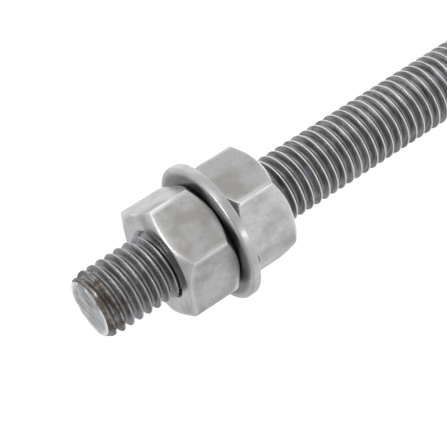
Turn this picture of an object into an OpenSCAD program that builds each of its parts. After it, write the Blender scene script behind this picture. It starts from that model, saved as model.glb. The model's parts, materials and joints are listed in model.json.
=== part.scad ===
// L-shaped anchor bolt: a bent round bar with a rolled thread, two hexagon nuts and a washer.
// The bolt lies as it comes to rest, on the washer's rim and along the bent leg.

/* [Bar] */
// Diameter of the plain bar
bar_d = 12; // [11.8:0.1:16]
// Length from the threaded tip to the far side of the leg
overall_length = 250; // [180:5:600]
// Length of the leg from the far side of the bar to its cut end
leg_length = 60; // [45:1:120]
// Radius on the inside of the bend
bend_inner_r = 18; // [12:1:25]
// Chamfer round the leg's cut end
leg_chamfer = 1; // [0.2:0.1:2]

/* [Thread] */
// Diameter over the thread's crests
thread_d = 11.7; // [11:0.1:11.8]
// Advance of the thread in one turn
pitch = 1.75; // [1.25:0.05:2]
// Length from the tip to the shoulder where the plain bar starts
thread_length = 100; // [50:1:140]
// Depth from crest to root
thread_depth = 1; // [0.6:0.05:1.1]
// Width of the flat on the crest
crest_flat = 0.22; // [0.16:0.02:0.5]
// Angle between the thread's two flanks
flank_angle = 60; // [50:1:60]
// Radius of the flat end at the tip
tip_r = 4.95; // [4.5:0.05:5.2]
// Plain length at the tip before the first crest
tip_lead = 0.2; // [0.1:0.05:1]
// Angle round the bar at which the first crest starts
thread_start = 48; // [0:1:360]
// Share of a turn over which the first groove sinks to its full depth
run_in = 0.25; // [0.1:0.05:0.5]

/* [Nuts] */
// Distance across a nut's flats
across_flats = 18.8; // [18:0.1:20]
// Height of a nut
nut_h = 9.75; // [8:0.05:12]
// Diameter over a nut's blunted corners
corner_d = 21.4; // [20.8:0.05:21.7]
// Diameter of the flat ring on a nut's face
nut_face_d = 18; // [16:0.1:18.2]
// Slope of the chamfer down from a nut's face
nut_chamfer_angle = 40; // [25:1:45]
// Diameter of the countersink at a nut's face
countersink_d = 13; // [12.4:0.1:14]
// Gap all round between the thread's crests and a nut's bore
thread_clearance = 0.05; // [0.02:0.01:0.1]
// Turn of the outer nut about the bar
outer_nut_turn = 43; // [0:1:59]
// Turn of the inner nut about the bar
inner_nut_turn = 20; // [0:1:59]

/* [Washer] */
// Diameter of the washer
washer_d = 24.6; // [23:0.1:30]
// Thickness of the washer
washer_t = 1.9; // [1.5:0.1:3]
// Gap all round between the thread's crests and the washer's hole
washer_clearance = 0.65; // [0.2:0.05:1]
// Radius of the rolled edge round the washer's rim
rim_round = 0.7; // [0.2:0.05:0.85]

/* [Places] */
// Distance from the tip to the outer nut's face
outer_nut_from_tip = 13.4; // [8:0.1:40]
// Gap between each nut and the washer
seat_gap = 0.04; // [0.02:0.01:0.3]

/* [Hidden] */
round_fn = 96;
steel = "#8d8c89";
dark_steel = "#5b5a58";

// Bar
bar_r = bar_d / 2;
bend_r = bend_inner_r + bar_r;
leg_x = overall_length - bar_r;
leg_straight = leg_length - bar_r - bend_r;

// Thread profile, from the start of one crest to the start of the next
crest_r = thread_d / 2;
root_r = crest_r - thread_depth;
flank_w = thread_depth * tan(flank_angle / 2);
profile = [
    [0, crest_r],
    [crest_flat, crest_r],
    [crest_flat + flank_w, root_r],
    [pitch - flank_w, root_r],
];

// The thread's surface is a helical strip with this many steps in a turn
steps = 16;
corners = len(profile);
shoulder_r = (crest_r + bar_r) / 2;
buried = 2 * pitch;
turns = ceil((thread_length - tip_lead + buried) / pitch) + 1;
last_step = steps * (turns - 1);
thread_end = tip_lead + turns * pitch;

// Places along the bar
washer_from_tip = outer_nut_from_tip + nut_h + seat_gap;
inner_nut_from_tip = washer_from_tip + washer_t + seat_gap;
washer_r = washer_d / 2;

// Tilt at which the washer's rounded rim and the leg both touch the floor
rim_centre_r = washer_r - rim_round;
rim_to_leg = leg_x - (washer_from_tip + washer_t - rim_round);
rest_tilt = atan2(rim_centre_r, rim_to_leg)
    - asin((bar_r - rim_round) / norm([rim_to_leg, rim_centre_r]));

// Offset that puts the origin on the floor under the middle of the bolt's outer box
rest_shift = [
    -(leg_x * cos(rest_tilt) + bar_r - tip_r * sin(rest_tilt)) / 2,
    -(leg_length - bar_r - washer_r) / 2,
    leg_x * sin(rest_tilt) + bar_r,
];

// Turns the bolt, whose bar runs along +X with its tip at zero, to the way it lies
module at_rest() {
    translate(rest_shift) rotate([0, rest_tilt, 0]) children();
}

// Sets a piece that is made round +Z on the bar, at a distance from the tip
module on_bar(from_tip, turn = 0) {
    translate([from_tip, 0, 0]) rotate([0, 90, 0]) rotate([0, 0, turn]) children();
}

// Point on the bar's surface at a distance from the tip, a radius and an angle round the bar
function bar_point(x, r, a) = [x, r * cos(a), r * sin(a)];

// Radius of the first turn before its groove is cut: an even slope from the tip to a full crest
function uncut_r(x) = min(crest_r, tip_r + (crest_r - tip_r) * x / (tip_lead + pitch));

// Point of the thread at one step and one corner of the profile, held inside the tip's chamfer
function thread_point(step, corner) =
    let (
        x = tip_lead + step / steps * pitch + profile[corner][0],
        cut_r = min(profile[corner][1], tip_r + x),
        share = min(1, step / (steps * run_in))
    )
    bar_point(x, share * cut_r + (1 - share) * uncut_r(x), thread_start + 360 * step / steps);

// Number of a thread point; the corner after the last is the first one of the next turn
function thread_id(step, corner) =
    corner < corners ? steps + corners * step + corner : thread_id(step + steps, 0);

// The threaded bar: a flat tip, a helical strip of roots, flanks and crests, and a buried end
module threaded_bar() {
    tip_ring = [for (i = [0 : steps - 1]) bar_point(0, tip_r, thread_start + 360 * i / steps)];
    strip = [for (i = [0 : last_step + steps], k = [0 : corners - 1]) thread_point(i, k)];
    points = concat(tip_ring, strip, [bar_point(thread_end, 0, 0)]);
    end_point = len(points) - 1;
    tip_face = [[for (i = [0 : steps - 1]) i]];
    tip_band = [
        for (i = [0 : steps - 2]) [thread_id(i, 0), thread_id(i + 1, 0), i + 1, i]
    ];
    first_groove = [concat(
        [thread_id(steps - 1, 0)],
        [for (k = [corners : -1 : 0]) thread_id(0, k)],
        [0, steps - 1]
    )];
    helix = [
        for (i = [0 : last_step - 1], k = [0 : corners - 1])
        each [
            [thread_id(i, k + 1), thread_id(i + 1, k + 1), thread_id(i, k)],
            [thread_id(i + 1, k + 1), thread_id(i + 1, k), thread_id(i, k)],
        ]
    ];
    buried_turn = [
        for (i = [last_step : last_step + steps - 1])
        [thread_id(i, 0), end_point, thread_id(i + 1, 0)]
    ];
    buried_step = [
        for (k = [0 : corners - 1])
        [end_point, thread_id(last_step, k), thread_id(last_step, k + 1)]
    ];
    polyhedron(points, concat(tip_face, tip_band, first_groove, helix, buried_turn, buried_step));
}

// The plain bar from its shoulder to the start of the bend
module shank() {
    on_bar(thread_length)
        rotate_extrude($fn = round_fn)
        polygon([
            [0, 0],
            [shoulder_r, 0],
            [bar_r, bar_r - shoulder_r],
            [bar_r, leg_x - bend_r - thread_length],
            [0, leg_x - bend_r - thread_length],
        ]);
}

// The quarter turn between the bar and the leg
module bend() {
    translate([leg_x - bend_r, bend_r, 0])
        rotate([0, 0, -90])
        rotate_extrude(angle = 90, $fn = round_fn)
        translate([bend_r, 0]) circle(r = bar_r, $fn = round_fn);
}

// The straight leg with its chamfered end
module leg() {
    translate([leg_x, bend_r, 0])
        rotate([-90, 0, 0])
        rotate_extrude($fn = round_fn)
        polygon([
            [0, 0],
            [bar_r, 0],
            [bar_r, leg_straight - leg_chamfer],
            [bar_r - leg_chamfer, leg_straight],
            [0, leg_straight],
        ]);
}

module anchor_rod() {
    color(dark_steel) at_rest() {
        threaded_bar();
        shank();
        bend();
        leg();
    }
}

// Half section of a nut's turned form: bore, two countersinks and two chamfered faces
module nut_section() {
    bore_r = crest_r + thread_clearance;
    sink_r = countersink_d / 2;
    sink_h = sink_r - bore_r;
    face_r = nut_face_d / 2;
    corner_r = corner_d / 2;
    chamfer_h = (corner_r - face_r) * tan(nut_chamfer_angle);
    polygon([
        [bore_r, sink_h],
        [sink_r, 0],
        [face_r, 0],
        [corner_r, chamfer_h],
        [corner_r, nut_h - chamfer_h],
        [face_r, nut_h],
        [sink_r, nut_h],
        [bore_r, nut_h - sink_h],
    ]);
}

// A hexagon nut: the turned form cut by the hexagon, so each chamfer meets a flat in an arc
module hex_nut() {
    intersection() {
        rotate_extrude($fn = round_fn) nut_section();
        linear_extrude(nut_h) circle(d = across_flats / cos(30), $fn = 6);
    }
}

module outer_nut() {
    color(steel) at_rest() on_bar(outer_nut_from_tip, outer_nut_turn) hex_nut();
}

module inner_nut() {
    color(steel) at_rest() on_bar(inner_nut_from_tip, inner_nut_turn) hex_nut();
}

// Half section of the washer, with a rolled edge on both sides of its rim
module washer_section() {
    hole_r = crest_r + washer_clearance;
    translate([hole_r, 0]) square([rim_centre_r - hole_r, washer_t]);
    translate([rim_centre_r, rim_round]) square([rim_round, washer_t - 2 * rim_round]);
    for (z = [rim_round, washer_t - rim_round])
        translate([rim_centre_r, z]) circle(r = rim_round, $fn = round_fn);
}

module washer() {
    color(steel) at_rest() on_bar(washer_from_tip) rotate_extrude($fn = round_fn) washer_section();
}

anchor_rod();
outer_nut();
washer();
inner_nut();
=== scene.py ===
"""Dresses the anchor bolt: the threaded bar, its two hexagon nuts, the washer and the stage."""

import json
import math

import bmesh
import bpy
import numpy as np
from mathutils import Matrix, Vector


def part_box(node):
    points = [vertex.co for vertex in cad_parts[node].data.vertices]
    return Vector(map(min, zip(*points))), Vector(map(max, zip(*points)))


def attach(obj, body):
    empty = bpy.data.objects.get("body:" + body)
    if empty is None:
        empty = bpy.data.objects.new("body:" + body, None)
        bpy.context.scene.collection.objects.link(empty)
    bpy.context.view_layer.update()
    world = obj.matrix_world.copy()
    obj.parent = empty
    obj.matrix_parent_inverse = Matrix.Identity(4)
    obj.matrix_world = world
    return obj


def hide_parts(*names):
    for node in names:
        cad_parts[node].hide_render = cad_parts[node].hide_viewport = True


bl_info = {
    "name": "Anchor Bolt",
    "version": (1, 0, 0),
    "blender": (4, 5, 0),
    "location": "View3D > Sidebar > Anchor Bolt",
    "description": "Makes a threaded anchor bar, its hexagon nuts and washer, and a plain stage",
    "category": "Add Mesh",
}

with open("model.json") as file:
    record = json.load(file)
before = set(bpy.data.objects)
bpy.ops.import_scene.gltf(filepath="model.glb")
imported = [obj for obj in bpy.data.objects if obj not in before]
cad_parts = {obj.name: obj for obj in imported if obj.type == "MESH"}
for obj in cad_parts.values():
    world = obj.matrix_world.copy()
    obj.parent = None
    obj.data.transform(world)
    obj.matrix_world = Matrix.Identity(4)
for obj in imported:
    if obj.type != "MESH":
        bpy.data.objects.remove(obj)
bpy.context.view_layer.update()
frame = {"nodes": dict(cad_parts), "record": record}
MM = 0.001
TURN = 2 * math.pi
SIDES = 6
HALF_FLAT = math.radians(30)

# Points closer than this become one
MERGE_DISTANCE = 0.001 * MM
# Largest share of an edge that a rounded corner takes up
LARGEST_CUT = 0.45

# Marks of wear: how far they reach from the tip, their sizes, and the seeds of their patterns
TIP_WEAR_REACH = 2.2 * MM
KNOCK_SIZE = 2.6 * MM
KNOCK_SEED = 3
CLOG_SIZE = 4.0 * MM
CLOG_SEED = 8
HOLLOW_DEPTH = 0.05 * MM
HOLLOW_SIZE = 4.0 * MM
HOLLOW_SEED = 5
DENT_DEPTH = 0.012 * MM
DENT_SIZE = 7 * MM
RUB_SIZE = 5 * MM
NUT_SEED = 20
RUB_SEED_STEP = 7

# Finest grain of the steel, as a noise's scale, and the height of its bumps
GRAIN_SCALE = 2600.0
GRAIN_BUMP = 0.00002

# Reaches in the bar's finish, in millimetres from the tip: where each begins and where it is
# full. The drawn finish begins at the thread's end.
END_FACE_MM = (0.10, 0.03)
STAIN_MM = (8.0, 3.0)
THICK_STAIN_MM = (6.0, 0.3)
BRIGHT_CREST_MM = (2.0, 26.0)
DRAWN_BAND_MM = 1.0
# Heights above the floor between which stains grow from few to full
STAIN_HEIGHTS = (9.5 * MM, 13.5 * MM)
# How far the painted shade on the washer's faces near the nut fades outward and inward of its
# radius, in millimetres
PAINTED_SHADE_FADE_MM = (0.5, 0.8)
# Upward parts of a direction between which the dome weakens below and above
DOME_BELOW = (-1.0, -0.7)
DOME_ABOVE = (0.1, 0.75)

# Rings of the bar's sawn end, as shares of its radius, and where the painted highlight round its
# rim begins and how wide it is on the same scale
DISC_RINGS = np.array([0.12, 0.3, 0.5, 0.7, 0.85, 0.945])[:, None]
PAINTED_HIGHLIGHT_BEGINS = 0.8
PAINTED_HIGHLIGHT_WIDTH = 0.16
# Rows of points on a nut's flat, as shares of its height
FLAT_ROWS = (0.12, 0.3, 0.5, 0.7, 0.88)
# Height of the plain bar on the finish's scale from root to crest
PLAIN_HEIGHT = 0.8

# ---------------------------------------------------------------- places taken from the frame


def mount(name):
    """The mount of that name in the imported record."""
    return next(m for m in frame["record"]["mounts"] if m["name"] == name)


TIP = np.array(mount("threaded_end")["pos_m"])
ALONG = -np.array(mount("threaded_end")["axis"])
ALONG /= np.linalg.norm(ALONG)
ACROSS = np.array([0.0, 1.0, 0.0])
ABOVE = np.cross(ALONG, ACROSS)
AXES = np.stack([ALONG, ACROSS, ABOVE])
CREST_R = mount("threaded_end")["dims"]["r_mm"] * MM
THREAD_LENGTH = mount("threaded_end")["dims"]["length_mm"] * MM
BAR_R = mount("leg_end")["dims"]["r_mm"] * MM


def on_bar(points):
    """Points given along, across and above the bar, carried into the frame."""
    return TIP + np.asarray(points) @ AXES


def off_bar(points):
    """Points of the frame, given back along, across and above the bar."""
    return (points - TIP) @ AXES.T


def round_bar(along, radius, angle):
    """Points at a distance along the bar, a radius and an angle round it, from +Y towards up."""
    return on_bar(np.stack(np.broadcast_arrays(
        along, radius * np.cos(angle), radius * np.sin(angle)), axis=-1))


def measured(node):
    """A round node's reach along the bar, its radii, and the angle of its outermost corner."""
    mesh = frame["nodes"][node].data
    points = np.empty(3 * len(mesh.vertices), np.float32)
    mesh.vertices.foreach_get("co", points)
    local = off_bar(points.reshape(-1, 3))
    radius = np.hypot(local[:, 1], local[:, 2])
    angle = np.arctan2(local[:, 2], local[:, 1])
    corner_band = 0.02 * MM
    outer = angle[radius > radius.max() - corner_band]
    corner = np.angle(np.exp(SIDES * 1j * outer).mean()) / SIDES
    return {
        "near": local[:, 0].min(),
        "far": local[:, 0].max(),
        "hole_r": radius.min(),
        "outer_r": radius.max(),
        "corner": corner,
    }


LEG_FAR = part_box("anchor_rod")[1]
LEG_X = (LEG_FAR.x - BAR_R - TIP[0]) / ALONG[0]
LEG_REACH = LEG_FAR.y - TIP[1]

# ---------------------------------------------------------------- sizes and colours


def length(name, description, value_mm):
    """A length property in metres, with its default given in millimetres."""
    return bpy.props.FloatProperty(
        name=name, description=description, default=value_mm * MM, min=0.0,
        unit="LENGTH", subtype="DISTANCE", precision=5)


def colour(name, description, value):
    """A colour property."""
    return bpy.props.FloatVectorProperty(
        name=name, description=description, default=value, size=3, min=0.0, max=1.0,
        subtype="COLOR")


def share(name, description, value):
    """A plain number from 0 to 1."""
    return bpy.props.FloatProperty(
        name=name, description=description, default=value, min=0.0, max=1.0)


class ThreadedBarSizes(bpy.types.PropertyGroup):
    """Sizes and finish of the bar and its thread."""

    pitch: length("Pitch", "Advance of the thread in one turn", 1.75)
    depth: length("Depth", "Depth of the thread from crest to root", 1.0)
    crest_flat: length("Crest flat", "Width of the flat on the crest", 0.22)
    flank_angle: bpy.props.FloatProperty(
        name="Flank angle", description="Angle between the thread's two flanks",
        default=math.radians(60), subtype="ANGLE")
    edge_round: length("Edge round", "Half width of the rounding on the crest's edges", 0.05)
    root_round: length("Root round", "Half width of the rounding in the root", 0.17)
    tip_r: length("Tip radius", "Radius of the flat end at the tip", 4.95)
    tip_lead: length("Tip lead", "Distance from the tip at which the first crest starts", 0.2)
    thread_start: bpy.props.FloatProperty(
        name="Thread start", description="Angle round the bar at which the first crest starts",
        default=math.radians(48), subtype="ANGLE")
    run_out: length("Run-out", "Length over which the groove fades at the shoulder", 1.2)
    bend_r: length("Bend radius", "Radius of the bend along the bar's middle", 24.0)
    leg_chamfer: length("Leg chamfer", "Chamfer round the leg's cut end", 1.0)
    wear: length("Wear", "How far the crests are worn and uneven", 0.04)
    flank: colour("Flank", "Colour of the thread's flanks", (0.275, 0.27, 0.266))
    root: colour("Root", "Colour of the burnished root", (0.36, 0.355, 0.35))
    # Rubbed crests, brightened further as painted highlight along the crest lines
    crest: colour("Crest", "Colour of the rubbed crests", (0.74, 0.735, 0.73))
    # Painted sheen: bluish glints of reflected light on the flanks
    painted_sheen: colour("Sheen", "Colour of the bluish patches on the flanks", (0.36, 0.365, 0.41))
    rust: colour("Rust", "Colour of the stains near the tip", (0.155, 0.128, 0.108))
    face: colour("End face", "Colour of the sawn end", (0.52, 0.52, 0.525))


class NutSizes(bpy.types.PropertyGroup):
    """Sizes and finish of the hexagon nuts."""

    flats: length("Across flats", "Distance across a nut's flats", 18.8)
    corner_rounds: bpy.props.FloatVectorProperty(
        name="Corner rounds", size=SIDES, min=0.0, unit="LENGTH", precision=5,
        description="Radius of the rounding on each of a nut's corners",
        default=tuple(r * MM for r in (0.5, 0.5, 0.5, 2.7, 1.2, 0.8)))
    edge_round: length("Edge round", "Easing of the edges round a nut's faces", 0.22)
    face_r: length("Face radius", "Radius of the flat ring on a nut's face", 9.0)
    chamfer: bpy.props.FloatProperty(
        name="Chamfer", description="Slope of the chamfer down from a nut's face",
        default=math.radians(40), subtype="ANGLE")
    sink_r: length("Countersink", "Radius of the countersink at a nut's face", 6.5)
    outer_cuts: bpy.props.FloatVectorProperty(
        name="Outer nut's corners", size=SIDES, min=0.0, max=1.0,
        description="Share of the full chamfer at each corner of the outer nut's front",
        default=(0.28, 0.66, 1.0, 0.15, 0.4, 0.35))
    steel: colour("Steel", "Colour of the nuts", (0.525, 0.523, 0.524))
    rubbed: colour("Rubbed", "Colour of the darker rub marks", (0.39, 0.376, 0.358))
    # Worn edges, brightened further as painted highlight along the corners and chamfer lips
    edge: colour("Edge", "Colour of the bright worn edges", (0.88, 0.875, 0.87))


class WasherSizes(bpy.types.PropertyGroup):
    """Sizes and finish of the washer."""

    rim_round: length("Rim round", "Radius of the rolled edge round the rim", 0.7)
    hole_round: length("Hole round", "Radius of the edge round the hole", 0.15)
    steel: colour("Steel", "Colour of the washer", (0.56, 0.558, 0.556))
    # Painted shade: radius within which the washer's faces are darkened, as the nut shades them
    painted_shade_r: length("Grime radius", "Radius within which the washer's faces are dull", 11.5)


class StageSizes(bpy.types.PropertyGroup):
    """The floor, the lights and the camera."""

    floor: colour("Floor", "Colour of the floor", (0.12, 0.12, 0.12))
    glow: share("Glow", "Strength of the floor's own light", 1.0)
    dome: bpy.props.FloatProperty(
        name="Dome", description="Strength of the light from all round", default=0.93, min=0.0)
    above: share("Above", "Share of the dome's light that comes from above", 0.68)
    beneath: share("Beneath", "Share of the dome's light in the shade beneath the bolt", 0.8)
    far_side: share("Far side", "How much stronger the far side of the dome is", 0.16)
    leg_side: share("Leg side", "How much stronger the dome is on the leg's side", 0.3)
    key: bpy.props.FloatProperty(
        name="Key", description="Power of the large soft light above", default=0.8, min=0.0)
    lens: bpy.props.FloatProperty(
        name="Lens", description="Focal length of the camera in millimetres", default=135.07)
    azimuth: bpy.props.FloatProperty(
        name="Azimuth", description="Direction in which the camera looks, clockwise from +Y",
        default=math.radians(38.19), subtype="ANGLE")
    elevation: bpy.props.FloatProperty(
        name="Elevation", description="How steeply the camera looks down",
        default=math.radians(57.12), subtype="ANGLE")
    distance: length("Distance", "Distance from the camera to the bar's middle", 273.3)
    aim: length("Aim", "Distance from the tip to the point that the camera looks at", 26.85)
    shift: bpy.props.FloatProperty(
        name="Shift", description="Vertical shift of the camera's frame, as a share of its width",
        default=-0.0012)


# ---------------------------------------------------------------- mesh helpers


def waves(points, scale, seed, count=24):
    """Smooth uneven values from about -1 to 1: a sum of plane waves of about one scale, with
    seeded directions and phases, over the usual peak of such a sum."""
    slowest, quickest = 0.5, 1.5
    usual_peak = 1.4
    rng = np.random.default_rng(seed)
    direction = rng.normal(size=(count, 3))
    direction *= (TURN / scale) * rng.uniform(slowest, quickest, (count, 1)) / np.linalg.norm(
        direction, axis=1, keepdims=True)
    phase = rng.uniform(0, TURN, count)
    total = np.zeros(points.shape[:-1])
    for d, p in zip(direction, phase):
        total += np.sin(points @ d + p)
    return total / math.sqrt(count) / usual_peak


def rounded(corners, cuts, steps=5):
    """A path of points, each corner turned into a quadratic curve that starts and ends at its
    cut length from it. Works on whole rows of paths at once: corners[k] is (..., 2)."""
    rows = [corners[0]]
    for before, corner, after, cut in zip(corners, corners[1:], corners[2:], cuts):
        if cut == 0:
            rows.append(corner)
            continue
        back, ahead = before - corner, after - corner
        back_l = np.linalg.norm(back, axis=-1, keepdims=True)
        ahead_l = np.linalg.norm(ahead, axis=-1, keepdims=True)
        start = corner + back / back_l * np.minimum(cut, LARGEST_CUT * back_l)
        end = corner + ahead / ahead_l * np.minimum(cut, LARGEST_CUT * ahead_l)
        for t in np.linspace(0, 1, steps):
            rows.append((1 - t) ** 2 * start + 2 * t * (1 - t) * corner + t ** 2 * end)
    rows.append(corners[-1])
    return rows


def ring_faces(ids):
    """Quads between neighbouring rows of a grid of point numbers whose rows close round."""
    a, b = ids[:-1], ids[1:]
    a_next, b_next = np.roll(a, -1, axis=1), np.roll(b, -1, axis=1)
    return np.stack([a, a_next, b_next, b], axis=-1).reshape(-1, 4)


def fan_faces(row, pole):
    """Triangles from one closed row of points to a pole."""
    return np.stack([row, np.roll(row, -1), np.full(len(row), pole)], axis=-1)


def group_list(group):
    """A group of faces as plain lists of point numbers."""
    return group.tolist() if isinstance(group, np.ndarray) else group


def add_attributes(mesh, attributes):
    """Stores named numbers or vectors on a mesh's points."""
    for label, values in attributes.items():
        vector = values.ndim == 2
        layer = mesh.attributes.new(label, "FLOAT_VECTOR" if vector else "FLOAT", "POINT")
        layer.data.foreach_set("vector" if vector else "value",
                               values.astype(np.float32).ravel())


def close_skin(mesh):
    """Merges the points that fall together and turns the faces outward."""
    work = bmesh.new()
    work.from_mesh(mesh)
    bmesh.ops.remove_doubles(work, verts=work.verts, dist=MERGE_DISTANCE)
    if any(not edge.is_manifold for edge in work.edges):
        raise RuntimeError(f"{mesh.name}: the skin isn't closed")
    bmesh.ops.recalc_face_normals(work, faces=work.faces)
    work.to_mesh(mesh)
    work.free()


def solid_piece(name, points, faces, attributes, material, body, node):
    """One finished mesh piece with smooth faces, which rides on a body and stands for a node."""
    mesh = bpy.data.meshes.new(name)
    listed = [f for group in faces for f in group_list(group)]
    mesh.from_pydata(points.tolist(), [], listed)
    add_attributes(mesh, attributes)
    close_skin(mesh)
    mesh.polygons.foreach_set("use_smooth", np.ones(len(mesh.polygons), bool))
    mesh.materials.append(material)
    piece = bpy.data.objects.new(name, mesh)
    bpy.context.scene.collection.objects.link(piece)
    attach(piece, body)
    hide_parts(node)


# ---------------------------------------------------------------- material helpers


class Nodes:
    """Short ways to add and join shader nodes in one material or world."""

    def __init__(self, owner, shader="Principled BSDF"):
        """Takes a material or world and finds its shader."""
        self.owner = owner
        owner.use_nodes = True
        self.tree = owner.node_tree
        self.shader = self.tree.nodes[shader]

    def add(self, kind, **settings):
        """A new node with its settings."""
        node = self.tree.nodes.new(kind)
        for key, value in settings.items():
            setattr(node, key, value)
        return node

    def join(self, output, node_input):
        """Joins an output to an input."""
        self.tree.links.new(output, node_input)

    def attribute(self, name, vector=False):
        """A value that the mesh holds."""
        node = self.add("ShaderNodeAttribute", attribute_name=name)
        return node.outputs["Vector" if vector else "Fac"]

    def position(self):
        """The place on the object."""
        return self.add("ShaderNodeTexCoord").outputs["Object"]

    def stretched(self, vector, scale):
        """A vector times another, axis by axis."""
        node = self.add("ShaderNodeVectorMath", operation="MULTIPLY")
        self.join(vector, node.inputs[0])
        node.inputs[1].default_value = scale
        return node.outputs["Vector"]

    def noise(self, vector, scale, detail=4.0, roughness=0.55):
        """A cloudy pattern from 0 to 1."""
        node = self.add("ShaderNodeTexNoise")
        self.join(vector, node.inputs["Vector"])
        node.inputs["Scale"].default_value = scale
        node.inputs["Detail"].default_value = detail
        node.inputs["Roughness"].default_value = roughness
        return node.outputs["Fac"]

    def between(self, value, low, high, to_low=0.0, to_high=1.0):
        """A smooth step from one result to another as a value goes from low to high."""
        node = self.add("ShaderNodeMapRange", interpolation_type="SMOOTHSTEP")
        self.join(value, node.inputs["Value"])
        node.inputs["From Min"].default_value = low
        node.inputs["From Max"].default_value = high
        node.inputs["To Min"].default_value = to_low
        node.inputs["To Max"].default_value = to_high
        return node.outputs["Result"]

    def math(self, operation, a, b):
        """A sum, difference or product."""
        node = self.add("ShaderNodeMath", operation=operation)
        for value, socket in ((a, node.inputs[0]), (b, node.inputs[1])):
            if isinstance(value, (int, float)):
                socket.default_value = value
            else:
                self.join(value, socket)
        return node.outputs["Value"]

    def mix(self, factor, a, b):
        """A blend of two colours, from a to b."""
        node = self.add("ShaderNodeMix", data_type="RGBA")
        self.join(factor, node.inputs["Factor"])
        for value, socket in ((a, node.inputs["A"]), (b, node.inputs["B"])):
            if isinstance(value, bpy.types.NodeSocket):
                self.join(value, socket)
            else:
                socket.default_value = (*value, 1.0)
        return node.outputs["Result"]

    def bump(self, height, distance, strength=1.0, under=None):
        """Fine relief, on top of another where one is given."""
        node = self.add("ShaderNodeBump")
        node.inputs["Strength"].default_value = strength
        node.inputs["Distance"].default_value = distance
        self.join(height, node.inputs["Height"])
        if under is not None:
            self.join(under, node.inputs["Normal"])
        return node.outputs["Normal"]

    def steel(self, colour, roughness, normal):
        """Joins a bare metal's colour, roughness and relief, and returns the material."""
        self.join(colour, self.shader.inputs["Base Color"])
        self.shader.inputs["Metallic"].default_value = 1.0
        self.join(roughness, self.shader.inputs["Roughness"])
        self.join(normal, self.shader.inputs["Normal"])
        return self.owner


def scaled(rgb, by):
    """A colour made lighter or darker."""
    return tuple(min(1.0, c * by) for c in rgb)


class BarPatterns:
    """The values that the bar's finish is made from: its own attributes, a streak that follows
    the rolled or drawn surface, and noises that follow the place on the bar."""

    def __init__(self, n):
        """Adds the nodes that give them."""
        self.place = n.position()
        upright = n.add("ShaderNodeSeparateXYZ")
        n.join(self.place, upright.inputs[0])
        self.up = upright.outputs["Z"]
        self.height = n.attribute("height")
        self.along = n.attribute("along_mm")
        # How near the sawn end's rim a point is: where the painted highlight goes
        self.rim = n.attribute("rim")
        wrap = n.attribute("wrap", vector=True)
        self.streak = n.noise(wrap, scale=1.0, detail=5.0, roughness=0.6)
        self.cloud = n.noise(self.place, scale=330.0, detail=3.0)
        self.mottle = n.noise(self.place, scale=GRAIN_SCALE, detail=3.0, roughness=0.7)
        self.patch = n.noise(self.place, scale=420.0, detail=5.0, roughness=0.68)


def flank_colour(n, at, sizes):
    """Dull flanks: streaked on the thread and even on the plain bar, with patches of painted
    bluish sheen, dark specks and a burnished root."""
    flank = n.mix(n.between(at.streak, 0.36, 0.66),
                  scaled(sizes.flank, 0.55), scaled(sizes.flank, 1.35))
    # Painted sheen: bluish glints of reflected light, in cloudy patches on the flanks
    flank = n.mix(n.between(at.cloud, 0.53, 0.70), flank, tuple(sizes.painted_sheen))
    thread_mm = THREAD_LENGTH / MM
    drawn = n.between(at.along, thread_mm, thread_mm + DRAWN_BAND_MM, 0.0, 0.8)
    flank = n.mix(drawn, flank, scaled(sizes.flank, 1.2))
    speck = n.between(at.mottle, 0.42, 0.30, 0.0, 0.6)
    flank = n.mix(speck, flank, scaled(sizes.flank, 0.45))
    in_root = n.between(at.height, 0.09, 0.0, 0.0, 0.9)
    return n.mix(in_root, flank, tuple(sizes.root))


def crest_cover(n, at):
    """How far the crests are rubbed bright, partly by wear and partly as painted highlight:
    unevenly, and less near the tip.
    """
    uneven = n.math("MULTIPLY", n.math("SUBTRACT", at.streak, 0.5), 0.12)
    rubbed = n.between(n.math("ADD", at.height, uneven), 0.90, 0.985)
    return n.math("MULTIPLY", rubbed, n.between(at.along, *BRIGHT_CREST_MM, 0.35, 1.0))


def rust_cover(n, at, crest):
    """How far brown stains cover the steel: in patches, most at the tip and on its upper side,
    least on rubbed crests, and not past the first turns."""
    near_tip = n.between(at.along, *THICK_STAIN_MM)
    stain = n.between(n.math("ADD", at.patch, n.math("MULTIPLY", near_tip, 0.2)), 0.55, 0.76)
    bright = n.math("MULTIPLY", crest, n.between(at.patch, 0.62, 0.5))
    bare = n.between(bright, 0.1, 0.8, 1.0, 0.25)
    upper = n.between(at.up, *STAIN_HEIGHTS, 0.3, 1.0)
    stain = n.math("MULTIPLY", n.math("MULTIPLY", stain, bare), upper)
    return n.math("MULTIPLY", stain, n.between(at.along, *STAIN_MM, 0.0, 0.95))


def sawn_end(n, at, sizes):
    """The sawn end: streaked, scratched one way, stained in patches, with a painted highlight in
    patches round its rim.
    """
    end = n.mix(n.between(at.streak, 0.35, 0.7),
                scaled(sizes.face, 0.86), scaled(sizes.face, 1.1))
    scratch = n.noise(n.stretched(at.place, (1.0, 0.22, 1.9)), scale=800.0, detail=4.0,
                      roughness=0.6)
    end = n.mix(n.between(scratch, 0.58, 0.66), end, scaled(sizes.face, 0.4))
    end = n.mix(n.between(at.patch, 0.60, 0.70), end, scaled(sizes.rust, 1.3))
    # Painted highlight: bright patches round the end's rim, where its eased edge would catch the
    # light
    painted_rim_highlight = n.math("MULTIPLY", at.rim, n.between(at.cloud, 0.44, 0.56))
    return n.mix(painted_rim_highlight, end, scaled(sizes.crest, 1.25))


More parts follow.
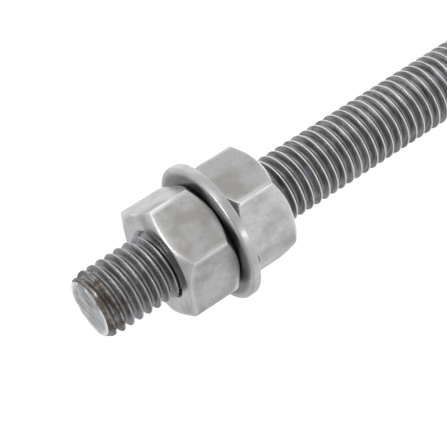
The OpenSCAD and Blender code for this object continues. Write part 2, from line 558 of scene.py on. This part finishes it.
def bar_steel(sizes):
    """Rolled steel: dull flanks, rubbed crests partly brightened as painted highlight, brown
    stains near the tip and a sawn end.
    """
    n = Nodes(bpy.data.materials.new("bar_steel"))
    at = BarPatterns(n)
    crest = crest_cover(n, at)
    # Crests: worn bright, and brighter still as painted highlight
    steel = n.mix(crest, flank_colour(n, at, sizes), tuple(sizes.crest))
    rusty = rust_cover(n, at, crest)
    rust = n.mix(n.between(at.mottle, 0.4, 0.6),
                 scaled(sizes.rust, 0.7), scaled(sizes.rust, 1.25))
    steel = n.mix(rusty, steel, rust)
    on_end = n.between(at.along, *END_FACE_MM)
    steel = n.mix(on_end, steel, sawn_end(n, at, sizes))
    satin = n.between(at.cloud, 0.3, 0.7, 0.34, 0.46)
    rough = n.math("ADD", satin, n.math("MULTIPLY", rusty, 0.25))
    grain = n.bump(at.mottle, GRAIN_BUMP, 0.5)
    return n.steel(steel, rough, n.bump(at.streak, 2 * GRAIN_BUMP, 0.5, grain))


def nut_steel(sizes):
    """Satin steel with soft cloudy rub marks and bright edges, partly worn and partly painted
    highlight. Its turned faces are glossier, have less grain, and carry fine rings."""
    n = Nodes(bpy.data.materials.new("nut_steel"))
    place = n.position()
    turned = n.attribute("turned")
    cloud = n.noise(place, scale=170.0, detail=2.5, roughness=0.5)
    blotch = n.noise(n.stretched(place, (1.0, 1.0, 1.4)), scale=420.0, detail=3.0)
    fine = n.noise(place, scale=GRAIN_SCALE, detail=4.0, roughness=0.65)
    both = n.math("ADD", n.math("MULTIPLY", cloud, 0.7), n.math("MULTIPLY", blotch, 0.3))
    steel = n.mix(n.between(both, 0.38, 0.58), tuple(sizes.rubbed), tuple(sizes.steel))
    plain = n.math("SUBTRACT", 1.0, n.math("MULTIPLY", turned, 0.9))
    speck = n.math("MULTIPLY", n.between(fine, 0.48, 0.68, 0.0, 0.65), plain)
    steel = n.mix(speck, steel, tuple(sizes.rubbed))
    # Bright edges: partly real wear, partly painted highlight along the corners and lips
    steel = n.mix(n.attribute("edge"), steel, tuple(sizes.edge))
    satin = n.between(both, 0.35, 0.65, 0.42, 0.32)
    rough = n.math("ADD", satin, n.math("MULTIPLY", turned, -0.08))
    rings = n.add("ShaderNodeTexNoise", noise_dimensions="1D")
    n.join(n.attribute("radius_mm"), rings.inputs["W"])
    rings.inputs["Scale"].default_value = 4.0
    ring_height = n.math("MULTIPLY", rings.outputs["Fac"], turned)
    grain = n.bump(n.math("MULTIPLY", fine, plain), GRAIN_BUMP, 0.3)
    return n.steel(steel, rough, n.bump(ring_height, GRAIN_BUMP / 2, 0.3, grain))


def washer_steel(sizes):
    """Smooth steel with faint clouds, and painted shade darkening its faces near the nut."""
    n = Nodes(bpy.data.materials.new("washer_steel"))
    place = n.position()
    cloud = n.noise(place, scale=300.0, detail=4.0, roughness=0.6)
    fine = n.noise(place, scale=1800.0, detail=4.0, roughness=0.6)
    steel = n.mix(n.between(cloud, 0.35, 0.7), scaled(sizes.steel, 0.9), scaled(sizes.steel, 1.07))
    painted_shade_mm = sizes.painted_shade_r / MM
    outward, inward = PAINTED_SHADE_FADE_MM
    # Painted shade: the faces within the radius are darkened, as in the nut's shade
    dull = n.between(n.attribute("radius_mm"), painted_shade_mm + outward, painted_shade_mm - inward)
    steel = n.mix(dull, steel, scaled(sizes.steel, 0.36))
    rough = n.between(cloud, 0.3, 0.7, 0.38, 0.30)
    return n.steel(steel, rough, n.bump(fine, GRAIN_BUMP, 0.2))


# ---------------------------------------------------------------- the bar


def thread_section(sizes):
    """One pitch of the thread, from the start of a crest, as offsets along and depths below the
    crest: two flats joined by straight flanks. Each corner is eased: its two neighbours lie on
    the straight lines, and it moves a quarter of the way towards their middle."""
    flank_w = sizes.depth * math.tan(sizes.flank_angle / 2)
    root_w = sizes.pitch - sizes.crest_flat - 2 * flank_w
    corner = np.cumsum([0.0, sizes.crest_flat, flank_w, root_w])
    depth = np.array([0.0, 0.0, sizes.depth, sizes.depth])
    ease = np.array([sizes.edge_round, sizes.edge_round, sizes.root_round, sizes.root_round])
    offsets = (corner[:, None] + ease[:, None] * np.array([-1.0, 0.0, 1.0])).ravel()
    sunk = np.interp(offsets, corner, depth, period=sizes.pitch)
    pull = sizes.depth / flank_w * ease / 4
    sunk[1::3] += pull * np.array([1, 1, -1, -1])
    middles = (corner + np.roll(corner, -1) + np.array([0, 0, 0, sizes.pitch])) / 2
    offsets = np.concatenate([offsets, middles])
    sunk = np.concatenate([sunk, np.interp(middles, corner, depth, period=sizes.pitch)])
    order = np.argsort(offsets)
    return offsets[order], sunk[order]


def thread_radius(sizes, along, helix):
    """The bar's radius at places along it whose helix starts at another: the least of the
    thread's section, the tip's chamfer and, near the shoulder, a fading groove."""
    offsets, sunk = thread_section(sizes)
    depth = np.interp(along - helix, offsets, sunk, period=sizes.pitch)
    left = np.clip((THREAD_LENGTH - along) / sizes.run_out, 0, 1)
    beyond = along > THREAD_LENGTH
    radius = np.where(beyond, BAR_R, CREST_R + (BAR_R - CREST_R) * (1 - left) - depth * left)
    return np.minimum(radius, sizes.tip_r + along), 1 - depth / sizes.depth


def worn_radius(sizes, along, radius, angle, height):
    """The thread's radius with its crests knocked down and its grooves partly clogged. Both are
    strongest at the tip: knocks fade to a trace, and clogging fades away."""
    knock_spread, clog_spread = 0.25, 0.45
    trace, extra_at_tip = 0.5, 4.5
    deepest_clog = 0.5
    spots = round_bar(along, radius, angle)
    near = np.exp(-along / TIP_WEAR_REACH)
    knocks = np.clip(waves(spots, KNOCK_SIZE, KNOCK_SEED) + knock_spread, 0, None)
    on_crest = np.clip(height * 3 - 1, 0, 1)
    radius = radius - sizes.wear * (trace + extra_at_tip * near) * knocks * on_crest
    in_groove = np.clip(1 - 2 * height, 0, 1)
    clogged = near * np.clip(waves(spots, CLOG_SIZE, CLOG_SEED) + clog_spread, 0, 1) * in_groove
    return np.minimum(radius + deepest_clog * sizes.depth * clogged, sizes.tip_r + along)


def thread_skin(sizes, columns):
    """The thread as a strip wound round the bar: station i lies at angle i, its points are one
    section of the thread, moved on by the angle's share of the pitch, and its last point is the
    first point of the station one turn on. Points before the tip are held on its plane."""
    offsets, _ = thread_section(sizes)
    early = math.ceil(columns * (1.1 + (sizes.tip_lead + sizes.edge_round) / sizes.pitch))
    turns = math.ceil((THREAD_LENGTH + 0.5 * MM - sizes.tip_lead) / sizes.pitch) + 1
    step = np.arange(-early, columns * turns)[:, None]
    angle = sizes.thread_start + TURN * step / columns
    helix = sizes.tip_lead + step / columns * sizes.pitch
    along = np.maximum(helix + offsets, 0)
    radius, height = thread_radius(sizes, along, helix)
    return along, worn_radius(sizes, along, radius, angle, height), angle, height


def carried_circles(sizes, start):
    """Centres, directions and radii of the circles of the plain bar, bend, leg and its end. The
    bend's centres lie on a quarter circle: its radius times the sine of the sweep along the bar,
    and times one less the cosine across it."""
    straight_rows, bend_rows, leg_rows = 24, 25, 8
    bend_start = LEG_X - sizes.bend_r
    straight = np.linspace(start, bend_start, straight_rows)
    sweep = np.linspace(0, math.pi / 2, bend_rows)[1:]
    leg_end = LEG_REACH - sizes.leg_chamfer
    leg = np.linspace(sizes.bend_r, leg_end, leg_rows)[1:]
    ease = 0.12 * MM
    end_r = BAR_R - sizes.leg_chamfer
    last = np.array([leg_end + ease, LEG_REACH - ease, LEG_REACH, LEG_REACH, LEG_REACH])
    last_r = [BAR_R - ease, end_r + ease, end_r - ease / 2, 0.6 * end_r, 0.25 * end_r]
    centre = np.concatenate([
        np.stack([straight, 0 * straight], -1),
        np.stack([bend_start + sizes.bend_r * np.sin(sweep),
                  sizes.bend_r * (1 - np.cos(sweep))], -1),
        np.stack([np.full(len(leg), LEG_X), leg], -1),
        np.stack([np.full(len(last), LEG_X), last], -1),
    ])
    heading = np.concatenate([
        np.zeros(len(straight)), sweep, np.full(len(leg) + len(last), math.pi / 2)])
    size = np.full(len(centre), BAR_R)
    size[-len(last):] = last_r
    return centre, heading, size


def plain_skin(sizes, start, turn):
    """Points of the circles past the thread, and where its finish has them: slowly along their
    path and round it. Each circle stands square to the path: its radius times the cosine of the
    turn lies in the bend's plane, and times the sine above it."""
    centre, heading, size = carried_circles(sizes, start)
    path = np.concatenate([[0], np.cumsum(np.linalg.norm(np.diff(centre, axis=0), axis=1))])
    side, up = np.cos(turn), np.sin(turn)
    points = on_bar(np.stack([
        centre[:, :1] - np.sin(heading)[:, None] * size[:, None] * side,
        centre[:, 1:] + np.cos(heading)[:, None] * size[:, None] * side,
        size[:, None] * up,
    ], -1))
    per_mm, per_round = 0.15, 7.0
    wrap = np.stack(np.broadcast_arrays(
        path[:, None] / MM * per_mm, per_round * side, per_round * up), -1)
    return points, wrap


def tip_disc(rim, turn):
    """Rings of the sawn end, which is sunk a little unevenly inside its rim."""
    disc = round_bar(0.0, DISC_RINGS * rim, turn)
    hollow = HOLLOW_DEPTH * np.abs(waves(disc, HOLLOW_SIZE, HOLLOW_SEED)) * (1 - DISC_RINGS ** 6)
    return disc + hollow[..., None] * ALONG


def bar_faces(disc_ids, strip_ids, plain_ids, leg_pole):
    """Faces between the numbered points: the tip's disc, the wound strip, the step from its last
    turn to the plain bar, the plain bar, and the leg's end."""
    columns = disc_ids.shape[1]
    wide = np.concatenate([strip_ids[:-columns], strip_ids[columns:, :1]], axis=1)
    a, b = wide[:-1], wide[1:]
    strip = np.stack([a[:, :-1], b[:, :-1], b[:, 1:], a[:, 1:]], -1).reshape(-1, 4)
    rim_row = strip_ids[:columns, 0]
    end_row = strip_ids[-columns - 1:-1, 0]
    first_angle = (len(strip_ids) - columns - 1) % columns
    start_row = np.roll(plain_ids[0], -first_angle)
    end_band = np.stack([end_row[:-1], end_row[1:], start_row[1:], start_row[:-1]], -1)
    end_step = [[end_row[-1], strip_ids[-1, 0], *wide[-1][::-1][1:].tolist(), start_row[0],
                 start_row[-1]]]
    return [
        fan_faces(disc_ids[0], 0)[:, [1, 0, 2]], ring_faces(np.stack([*disc_ids, rim_row])),
        strip, end_band, end_step, ring_faces(plain_ids), fan_faces(plain_ids[-1], leg_pole),
    ]


def bar_attributes(points, height, disc_ids, strip_ids, plain_ids, plain_wrap):
    """What the finish reads: height from root to crest, distance from the tip, the streak's place,
    and how near a point of the sawn end is to its rim, for the painted highlight there."""
    heights = np.full(len(points), PLAIN_HEIGHT)
    heights[strip_ids.ravel()] = height.ravel()
    rim = np.ones(len(points))
    rim[0] = 0.0
    rim[disc_ids] = np.clip((DISC_RINGS - PAINTED_HIGHLIGHT_BEGINS) / PAINTED_HIGHLIGHT_WIDTH, 0, 1)
    local = off_bar(points)
    swirl = np.arctan2(local[:, 2], local[:, 1])
    per_mm, per_round = 6.0, 1.5
    wrap = np.stack([local[:, 0] / MM * per_mm, per_round * np.cos(swirl),
                     per_round * np.sin(swirl)], -1)
    wrap[plain_ids.ravel()] = plain_wrap.reshape(-1, 3)
    return {"height": heights, "along_mm": local[:, 0] / MM, "wrap": wrap, "rim": rim}


def bar_surface(sizes, columns=80):
    """The bar's skin: a disc at the tip, the thread's strip, and past the shoulder a circle
    carried along the straight, the quarter bend and the leg. Where the strip is held on the
    tip's plane its points fall together and are merged later."""
    along, radius, angle, height = thread_skin(sizes, columns)
    turn = angle[:columns, 0]
    disc = tip_disc(radius[:columns, 0], turn)
    past_thread = 0.6 * MM
    plain, plain_wrap = plain_skin(sizes, along[-columns, -1] + past_thread, turn)

    disc_ids = 1 + np.arange(disc.shape[0] * columns).reshape(-1, columns)
    strip_ids = disc_ids.max() + 1 + np.arange(along.size).reshape(along.shape)
    plain_ids = strip_ids.max() + 1 + np.arange(plain.shape[0] * columns).reshape(-1, columns)
    leg_pole = plain_ids.max() + 1
    points = np.concatenate([
        round_bar(0.0, 0.0, 0.0)[None, :], disc.reshape(-1, 3),
        round_bar(along, radius, angle).reshape(-1, 3), plain.reshape(-1, 3),
        on_bar([[LEG_X, LEG_REACH, 0.0]]),
    ])
    height = np.where(along > THREAD_LENGTH, PLAIN_HEIGHT, height)
    return (points, bar_faces(disc_ids, strip_ids, plain_ids, leg_pole),
            bar_attributes(points, height, disc_ids, strip_ids, plain_ids, plain_wrap))


# ---------------------------------------------------------------- nuts and washer


def hexagon(flats, rounds, per_flat=32):
    """Angles from a corner and radii of a hexagon whose six corners have their own roundings.
    Along a flat the radius is the apothem over the cosine of the angle from the flat's middle;
    near a corner it is the far side of the rounding circle. Angles crowd towards the corners."""
    apothem = flats / 2
    crowding = 1.6
    v = 2 * (np.arange(per_flat) + 0.5) / per_flat - 1
    from_middle = HALF_FLAT * np.sign(v) * (1 - (1 - np.abs(v)) ** crowding)
    rounds = np.array(rounds)[:, None]
    nearest = np.where(from_middle < 0, rounds, np.roll(rounds, -1, axis=0))
    centre = (apothem - nearest) / math.cos(HALF_FLAT)
    limit = np.arctan((apothem - nearest) * math.tan(HALF_FLAT) / apothem)
    to_corner = HALF_FLAT - np.abs(from_middle)
    root = np.sqrt(np.maximum(nearest ** 2 - (centre * np.sin(to_corner)) ** 2, 0))
    radius = np.where(np.abs(from_middle) > limit, centre * np.cos(to_corner) + root,
                      apothem / np.cos(from_middle))
    angle = HALF_FLAT + from_middle + 2 * HALF_FLAT * np.arange(SIDES)[:, None]
    return angle.ravel(), radius.ravel()


def nut_section(sizes, bore, height, outer, drop, front):
    """A nut's closed section at every angle, as radii and distances along the bar: from the
    bore's middle out over the front, along the flat, and back over the far face."""
    sink = sizes.sink_r
    sink_h = sink - bore
    face_middle = (sink + sizes.face_r) / 2
    flat_h = height - drop - front

    def spot(radius, along):
        return np.stack(np.broadcast_arrays(radius + 0 * outer, along + 0 * outer), -1)

    corners = [
        spot(bore, height / 2), spot(bore, sink_h), spot(sink, 0),
        spot(face_middle, 0), spot(sizes.face_r, 0), spot(outer, front),
        *[spot(outer, front + part * flat_h) for part in FLAT_ROWS],
        spot(outer, height - drop), spot(sizes.face_r, height),
        spot(face_middle, height), spot(sink, height),
        spot(bore, height - sink_h), spot(bore, height / 2),
    ]
    eased = sizes.edge_round
    cuts = [eased / 2, eased / 2, 0, 1.6 * eased, eased, 0, 0, 0, 0, 0, eased, 1.6 * eased, 0,
            eased / 2, eased / 2]
    path = np.stack(rounded(corners, cuts)[:-1])
    return path[..., 0], path[..., 1]


def nut_attributes(sizes, points, radius, from_end, front, seed):
    """What the finish reads: where a face is turned, which edges are bright, and the radius. Edges
    are bright within a short reach of a corner or of a chamfer's lip, unevenly: partly worn,
    partly painted highlight."""
    corner_reach, lip_reach, least_front = 0.3 * MM, 0.28 * MM, 0.2 * MM
    turned_until, side_from = 0.97, 0.9
    outside = radius > sizes.face_r
    turned = np.clip(6 * (turned_until - from_end), 0, 1)
    on_side = (from_end > side_from) & outside
    near_corner = np.clip(1 - (radius.max() - radius) / corner_reach, 0, 1) * on_side
    lip_distance = np.abs(from_end - 1) * np.maximum(front, least_front)
    near_lip = np.clip(1 - lip_distance / lip_reach, 0, 1)
    worn = waves(points, RUB_SIZE, seed + RUB_SEED_STEP) * 0.35 + 0.65
    # Bright edges: worn, and widened as painted highlight along the chamfer lips
    edge = np.maximum(near_corner, near_lip * outside) * np.clip(worn, 0, 1)
    return {
        "turned": turned.ravel(),
        "edge": edge.ravel(),
        "radius_mm": (radius / MM).ravel(),
    }


def nut_surface(sizes, node, seed, front_cuts):
    """A nut's skin: for each angle of the hexagon, a closed path through the bore, countersink,
    face, chamfer and flat, with its corners eased. A chamfer drops from the face's radius to the
    hexagon at its slope, so it meets a flat in an arc. At the front each corner keeps its own
    share of that drop, and the shares run evenly from corner to corner."""
    seat = measured(node)
    height = seat["far"] - seat["near"]
    angle, outer = hexagon(sizes.flats, sizes.corner_rounds)
    drop = (outer - sizes.face_r) * math.tan(sizes.chamfer)
    front = drop * np.interp(angle, TURN / SIDES * np.arange(SIDES), front_cuts, period=TURN)
    radius, along = nut_section(sizes, seat["hole_r"], height, outer, drop, front)
    turn = seat["corner"] + angle[None, :]
    points = round_bar(seat["near"] + along, radius, turn)
    dent = DENT_DEPTH * waves(points, DENT_SIZE, seed) * (radius > sizes.face_r)
    points = round_bar(seat["near"] + along, radius - np.abs(dent), turn)
    ids = np.arange(radius.size).reshape(radius.shape)
    ids = np.concatenate([ids, ids[:1]])
    least = 0.1 * MM
    from_end = np.minimum(along / np.maximum(front, least)[None, :],
                          (height - along) / np.maximum(drop, least)[None, :])
    return points.reshape(-1, 3), [ring_faces(ids)[:, ::-1]], nut_attributes(
        sizes, points, radius, from_end, front, seed)


def washer_surface(sizes, columns=144):
    """The washer's skin: a closed path round its section, with eased corners, turned about the
    bar."""
    seat = measured("washer")
    thick = seat["far"] - seat["near"]
    hole, rim = seat["hole_r"], seat["outer_r"]
    corners = [
        [hole, thick / 2], [hole, 0], [(hole + rim) / 2, 0], [rim, 0], [rim, thick / 2],
        [rim, thick], [(hole + rim) / 2, thick], [hole, thick], [hole, thick / 2],
    ]
    corners = [np.array([c]) for c in corners]
    cut, small = 1.3 * sizes.rim_round, sizes.hole_round
    path = np.stack(rounded(corners, [small, 0.0, cut, 0.0, cut, 0.0, small], steps=7)[:-1])
    angle = TURN * np.arange(columns) / columns
    points = round_bar(seat["near"] + path[..., 1], path[..., 0], angle[None, :])
    ids = np.arange(len(path) * columns).reshape(-1, columns)
    ids = np.concatenate([ids, ids[:1]])
    radius_mm = np.broadcast_to(path[..., 0] / MM, points.shape[:2])
    return points.reshape(-1, 3), [ring_faces(ids)[:, ::-1]], {"radius_mm": radius_mm.ravel()}


# ---------------------------------------------------------------- the pieces' operators


class ANCHOR_OT_bar(bpy.types.Operator):
    """Make the threaded bar with its bend and leg"""

    bl_idname = "anchor.bar"
    bl_label = "Threaded Bar"

    def execute(self, context):
        sizes = context.scene.anchor_bar
        points, faces, attributes = bar_surface(sizes)
        solid_piece("threaded_bar", points, faces, attributes, bar_steel(sizes),
                    "bolt", "anchor_rod")
        return {"FINISHED"}


class ANCHOR_OT_nuts(bpy.types.Operator):
    """Make the two hexagon nuts"""

    bl_idname = "anchor.nuts"
    bl_label = "Hexagon Nuts"

    def execute(self, context):
        sizes = context.scene.anchor_nuts
        steel = nut_steel(sizes)
        for seed, (node, cuts) in enumerate(
                (("outer_nut", tuple(sizes.outer_cuts)), ("inner_nut", (1.0,) * SIDES))):
            points, faces, attributes = nut_surface(sizes, node, NUT_SEED + seed, cuts)
            solid_piece("hex_" + node, points, faces, attributes, steel, node + "_body",
                        node)
        return {"FINISHED"}


class ANCHOR_OT_washer(bpy.types.Operator):
    """Make the washer"""

    bl_idname = "anchor.washer"
    bl_label = "Washer"

    def execute(self, context):
        sizes = context.scene.anchor_washer
        points, faces, attributes = washer_surface(sizes)
        solid_piece("round_washer", points, faces, attributes, washer_steel(sizes),
                    "bolt", "washer")
        return {"FINISHED"}


# ---------------------------------------------------------------- the stage

WHITE = (1.0, 1.0, 1.0)
WARM = (1.0, 0.96, 0.91)
DOME_TINT = (0.975, 0.985, 1.0)
# The soft lights: name, place from the point aimed at, width, share of the key's power, tint
LAMPS = (
    ("overhead", (-0.1, 0.15, 0.6), 0.5, 1.0, WARM),
    ("by_the_tip", (-0.55, 0.09, 0.18), 0.22, 0.9, WHITE),
    ("low_front", (0.215, -0.48, 0.29), 0.13, 0.22, WHITE),
)


def soft_light(name, place, aim, size, power, tint):
    """A square soft light at a place, turned to a point."""
    data = bpy.data.lights.new(name, "AREA")
    data.size = size
    data.energy = power
    data.color = tint
    light = bpy.data.objects.new(name, data)
    light.location = place
    light.rotation_euler = (Vector(aim) - Vector(place)).to_track_quat("-Z", "Y").to_euler()
    bpy.context.scene.collection.objects.link(light)


def dome_light(sizes):
    """Light from all round, which the steel mirrors: full at the sides, stronger towards the far
    side and the leg, and less from above and straight below, in the shade beneath the bolt."""
    n = Nodes(bpy.data.worlds.new("dome"), "Background")
    direction = n.add("ShaderNodeSeparateXYZ")
    n.join(n.add("ShaderNodeTexCoord").outputs["Generated"], direction.inputs[0])
    up = direction.outputs["Z"]
    below = n.between(up, *DOME_BELOW, sizes.beneath * sizes.dome, sizes.dome)
    strength = n.math("MULTIPLY", below, n.between(up, *DOME_ABOVE, 1.0, sizes.above))
    leaning = n.math("ADD", n.math("MULTIPLY", direction.outputs["Y"], sizes.far_side),
                     n.math("MULTIPLY", direction.outputs["X"], sizes.leg_side))
    leaning = n.math("ADD", leaning, 1.0)
    n.join(n.math("MULTIPLY", strength, leaning), n.shader.inputs["Strength"])
    n.shader.inputs["Color"].default_value = (*DOME_TINT, 1.0)
    return n.owner


def make_floor(sizes):
    """A wide pale floor with a light of its own, which the steel doesn't mirror."""
    reach = 3.0
    mesh = bpy.data.meshes.new("floor")
    mesh.from_pydata([(-reach, -reach, 0), (reach, -reach, 0), (reach, reach, 0),
                      (-reach, reach, 0)], [], [(0, 1, 2, 3)])
    floor = bpy.data.objects.new("floor", mesh)
    bpy.context.scene.collection.objects.link(floor)
    paint = Nodes(bpy.data.materials.new("floor_paint"))
    paint.shader.inputs["Base Color"].default_value = (*sizes.floor, 1.0)
    paint.shader.inputs["Emission Color"].default_value = (*WHITE, 1.0)
    paint.shader.inputs["Emission Strength"].default_value = sizes.glow
    paint.shader.inputs["Roughness"].default_value = 0.9
    mesh.materials.append(paint.owner)
    floor.visible_glossy = False


def make_camera(sizes, aim):
    """A camera at its distance from the point that it looks at."""
    heading = Vector((
        math.sin(sizes.azimuth) * math.cos(sizes.elevation),
        math.cos(sizes.azimuth) * math.cos(sizes.elevation),
        -math.sin(sizes.elevation)))
    data = bpy.data.cameras.new("camera")
    data.sensor_width = 36.0
    data.lens = sizes.lens
    data.shift_y = sizes.shift
    data.clip_start = 0.01
    data.clip_end = 20.0
    camera = bpy.data.objects.new("camera", data)
    camera.location = Vector(aim) - heading * sizes.distance
    camera.rotation_euler = heading.to_track_quat("-Z", "Y").to_euler()
    bpy.context.scene.collection.objects.link(camera)
    bpy.context.scene.camera = camera


class ANCHOR_OT_stage(bpy.types.Operator):
    """Make the floor, the lights and the camera"""

    bl_idname = "anchor.stage"
    bl_label = "Stage"

    def execute(self, context):
        scene = context.scene
        sizes = scene.anchor_stage
        make_floor(sizes)
        scene.world = dome_light(sizes)
        aim = round_bar(sizes.aim, 0.0, 0.0)
        for name, toward, size, share_of_key, tint in LAMPS:
            soft_light(name, Vector(aim) + Vector(toward), aim, size, sizes.key * share_of_key,
                       tint)
        make_camera(sizes, aim)
        scene.view_settings.view_transform = "Standard"
        return {"FINISHED"}


# ---------------------------------------------------------------- panel and run


class ANCHOR_PT_panel(bpy.types.Panel):
    """Lists the bolt's pieces"""

    bl_label = "Anchor Bolt"
    bl_idname = "ANCHOR_PT_panel"
    bl_space_type = "VIEW_3D"
    bl_region_type = "UI"
    bl_category = "Anchor Bolt"

    def draw(self, context):
        """A button for each operator."""
        for operator in OPERATORS:
            self.layout.operator(operator.bl_idname)


OPERATORS = (ANCHOR_OT_stage, ANCHOR_OT_bar, ANCHOR_OT_nuts, ANCHOR_OT_washer)
GROUPS = {
    "anchor_bar": ThreadedBarSizes,
    "anchor_nuts": NutSizes,
    "anchor_washer": WasherSizes,
    "anchor_stage": StageSizes,
}


def register():
    """Makes the classes and the scene's sizes known to Blender."""
    for cls in (*GROUPS.values(), *OPERATORS, ANCHOR_PT_panel):
        bpy.utils.register_class(cls)
    for name, group in GROUPS.items():
        setattr(bpy.types.Scene, name, bpy.props.PointerProperty(type=group))


def unregister():
    """Takes them back in the opposite order."""
    for name in GROUPS:
        delattr(bpy.types.Scene, name)
    for cls in (ANCHOR_PT_panel, *reversed(OPERATORS), *reversed(list(GROUPS.values()))):
        bpy.utils.unregister_class(cls)


def main():
    """Makes everything in order."""
    register()
    bpy.ops.anchor.stage()
    bpy.ops.anchor.bar()
    bpy.ops.anchor.nuts()
    bpy.ops.anchor.washer()


if __name__ == "__main__":
    main()
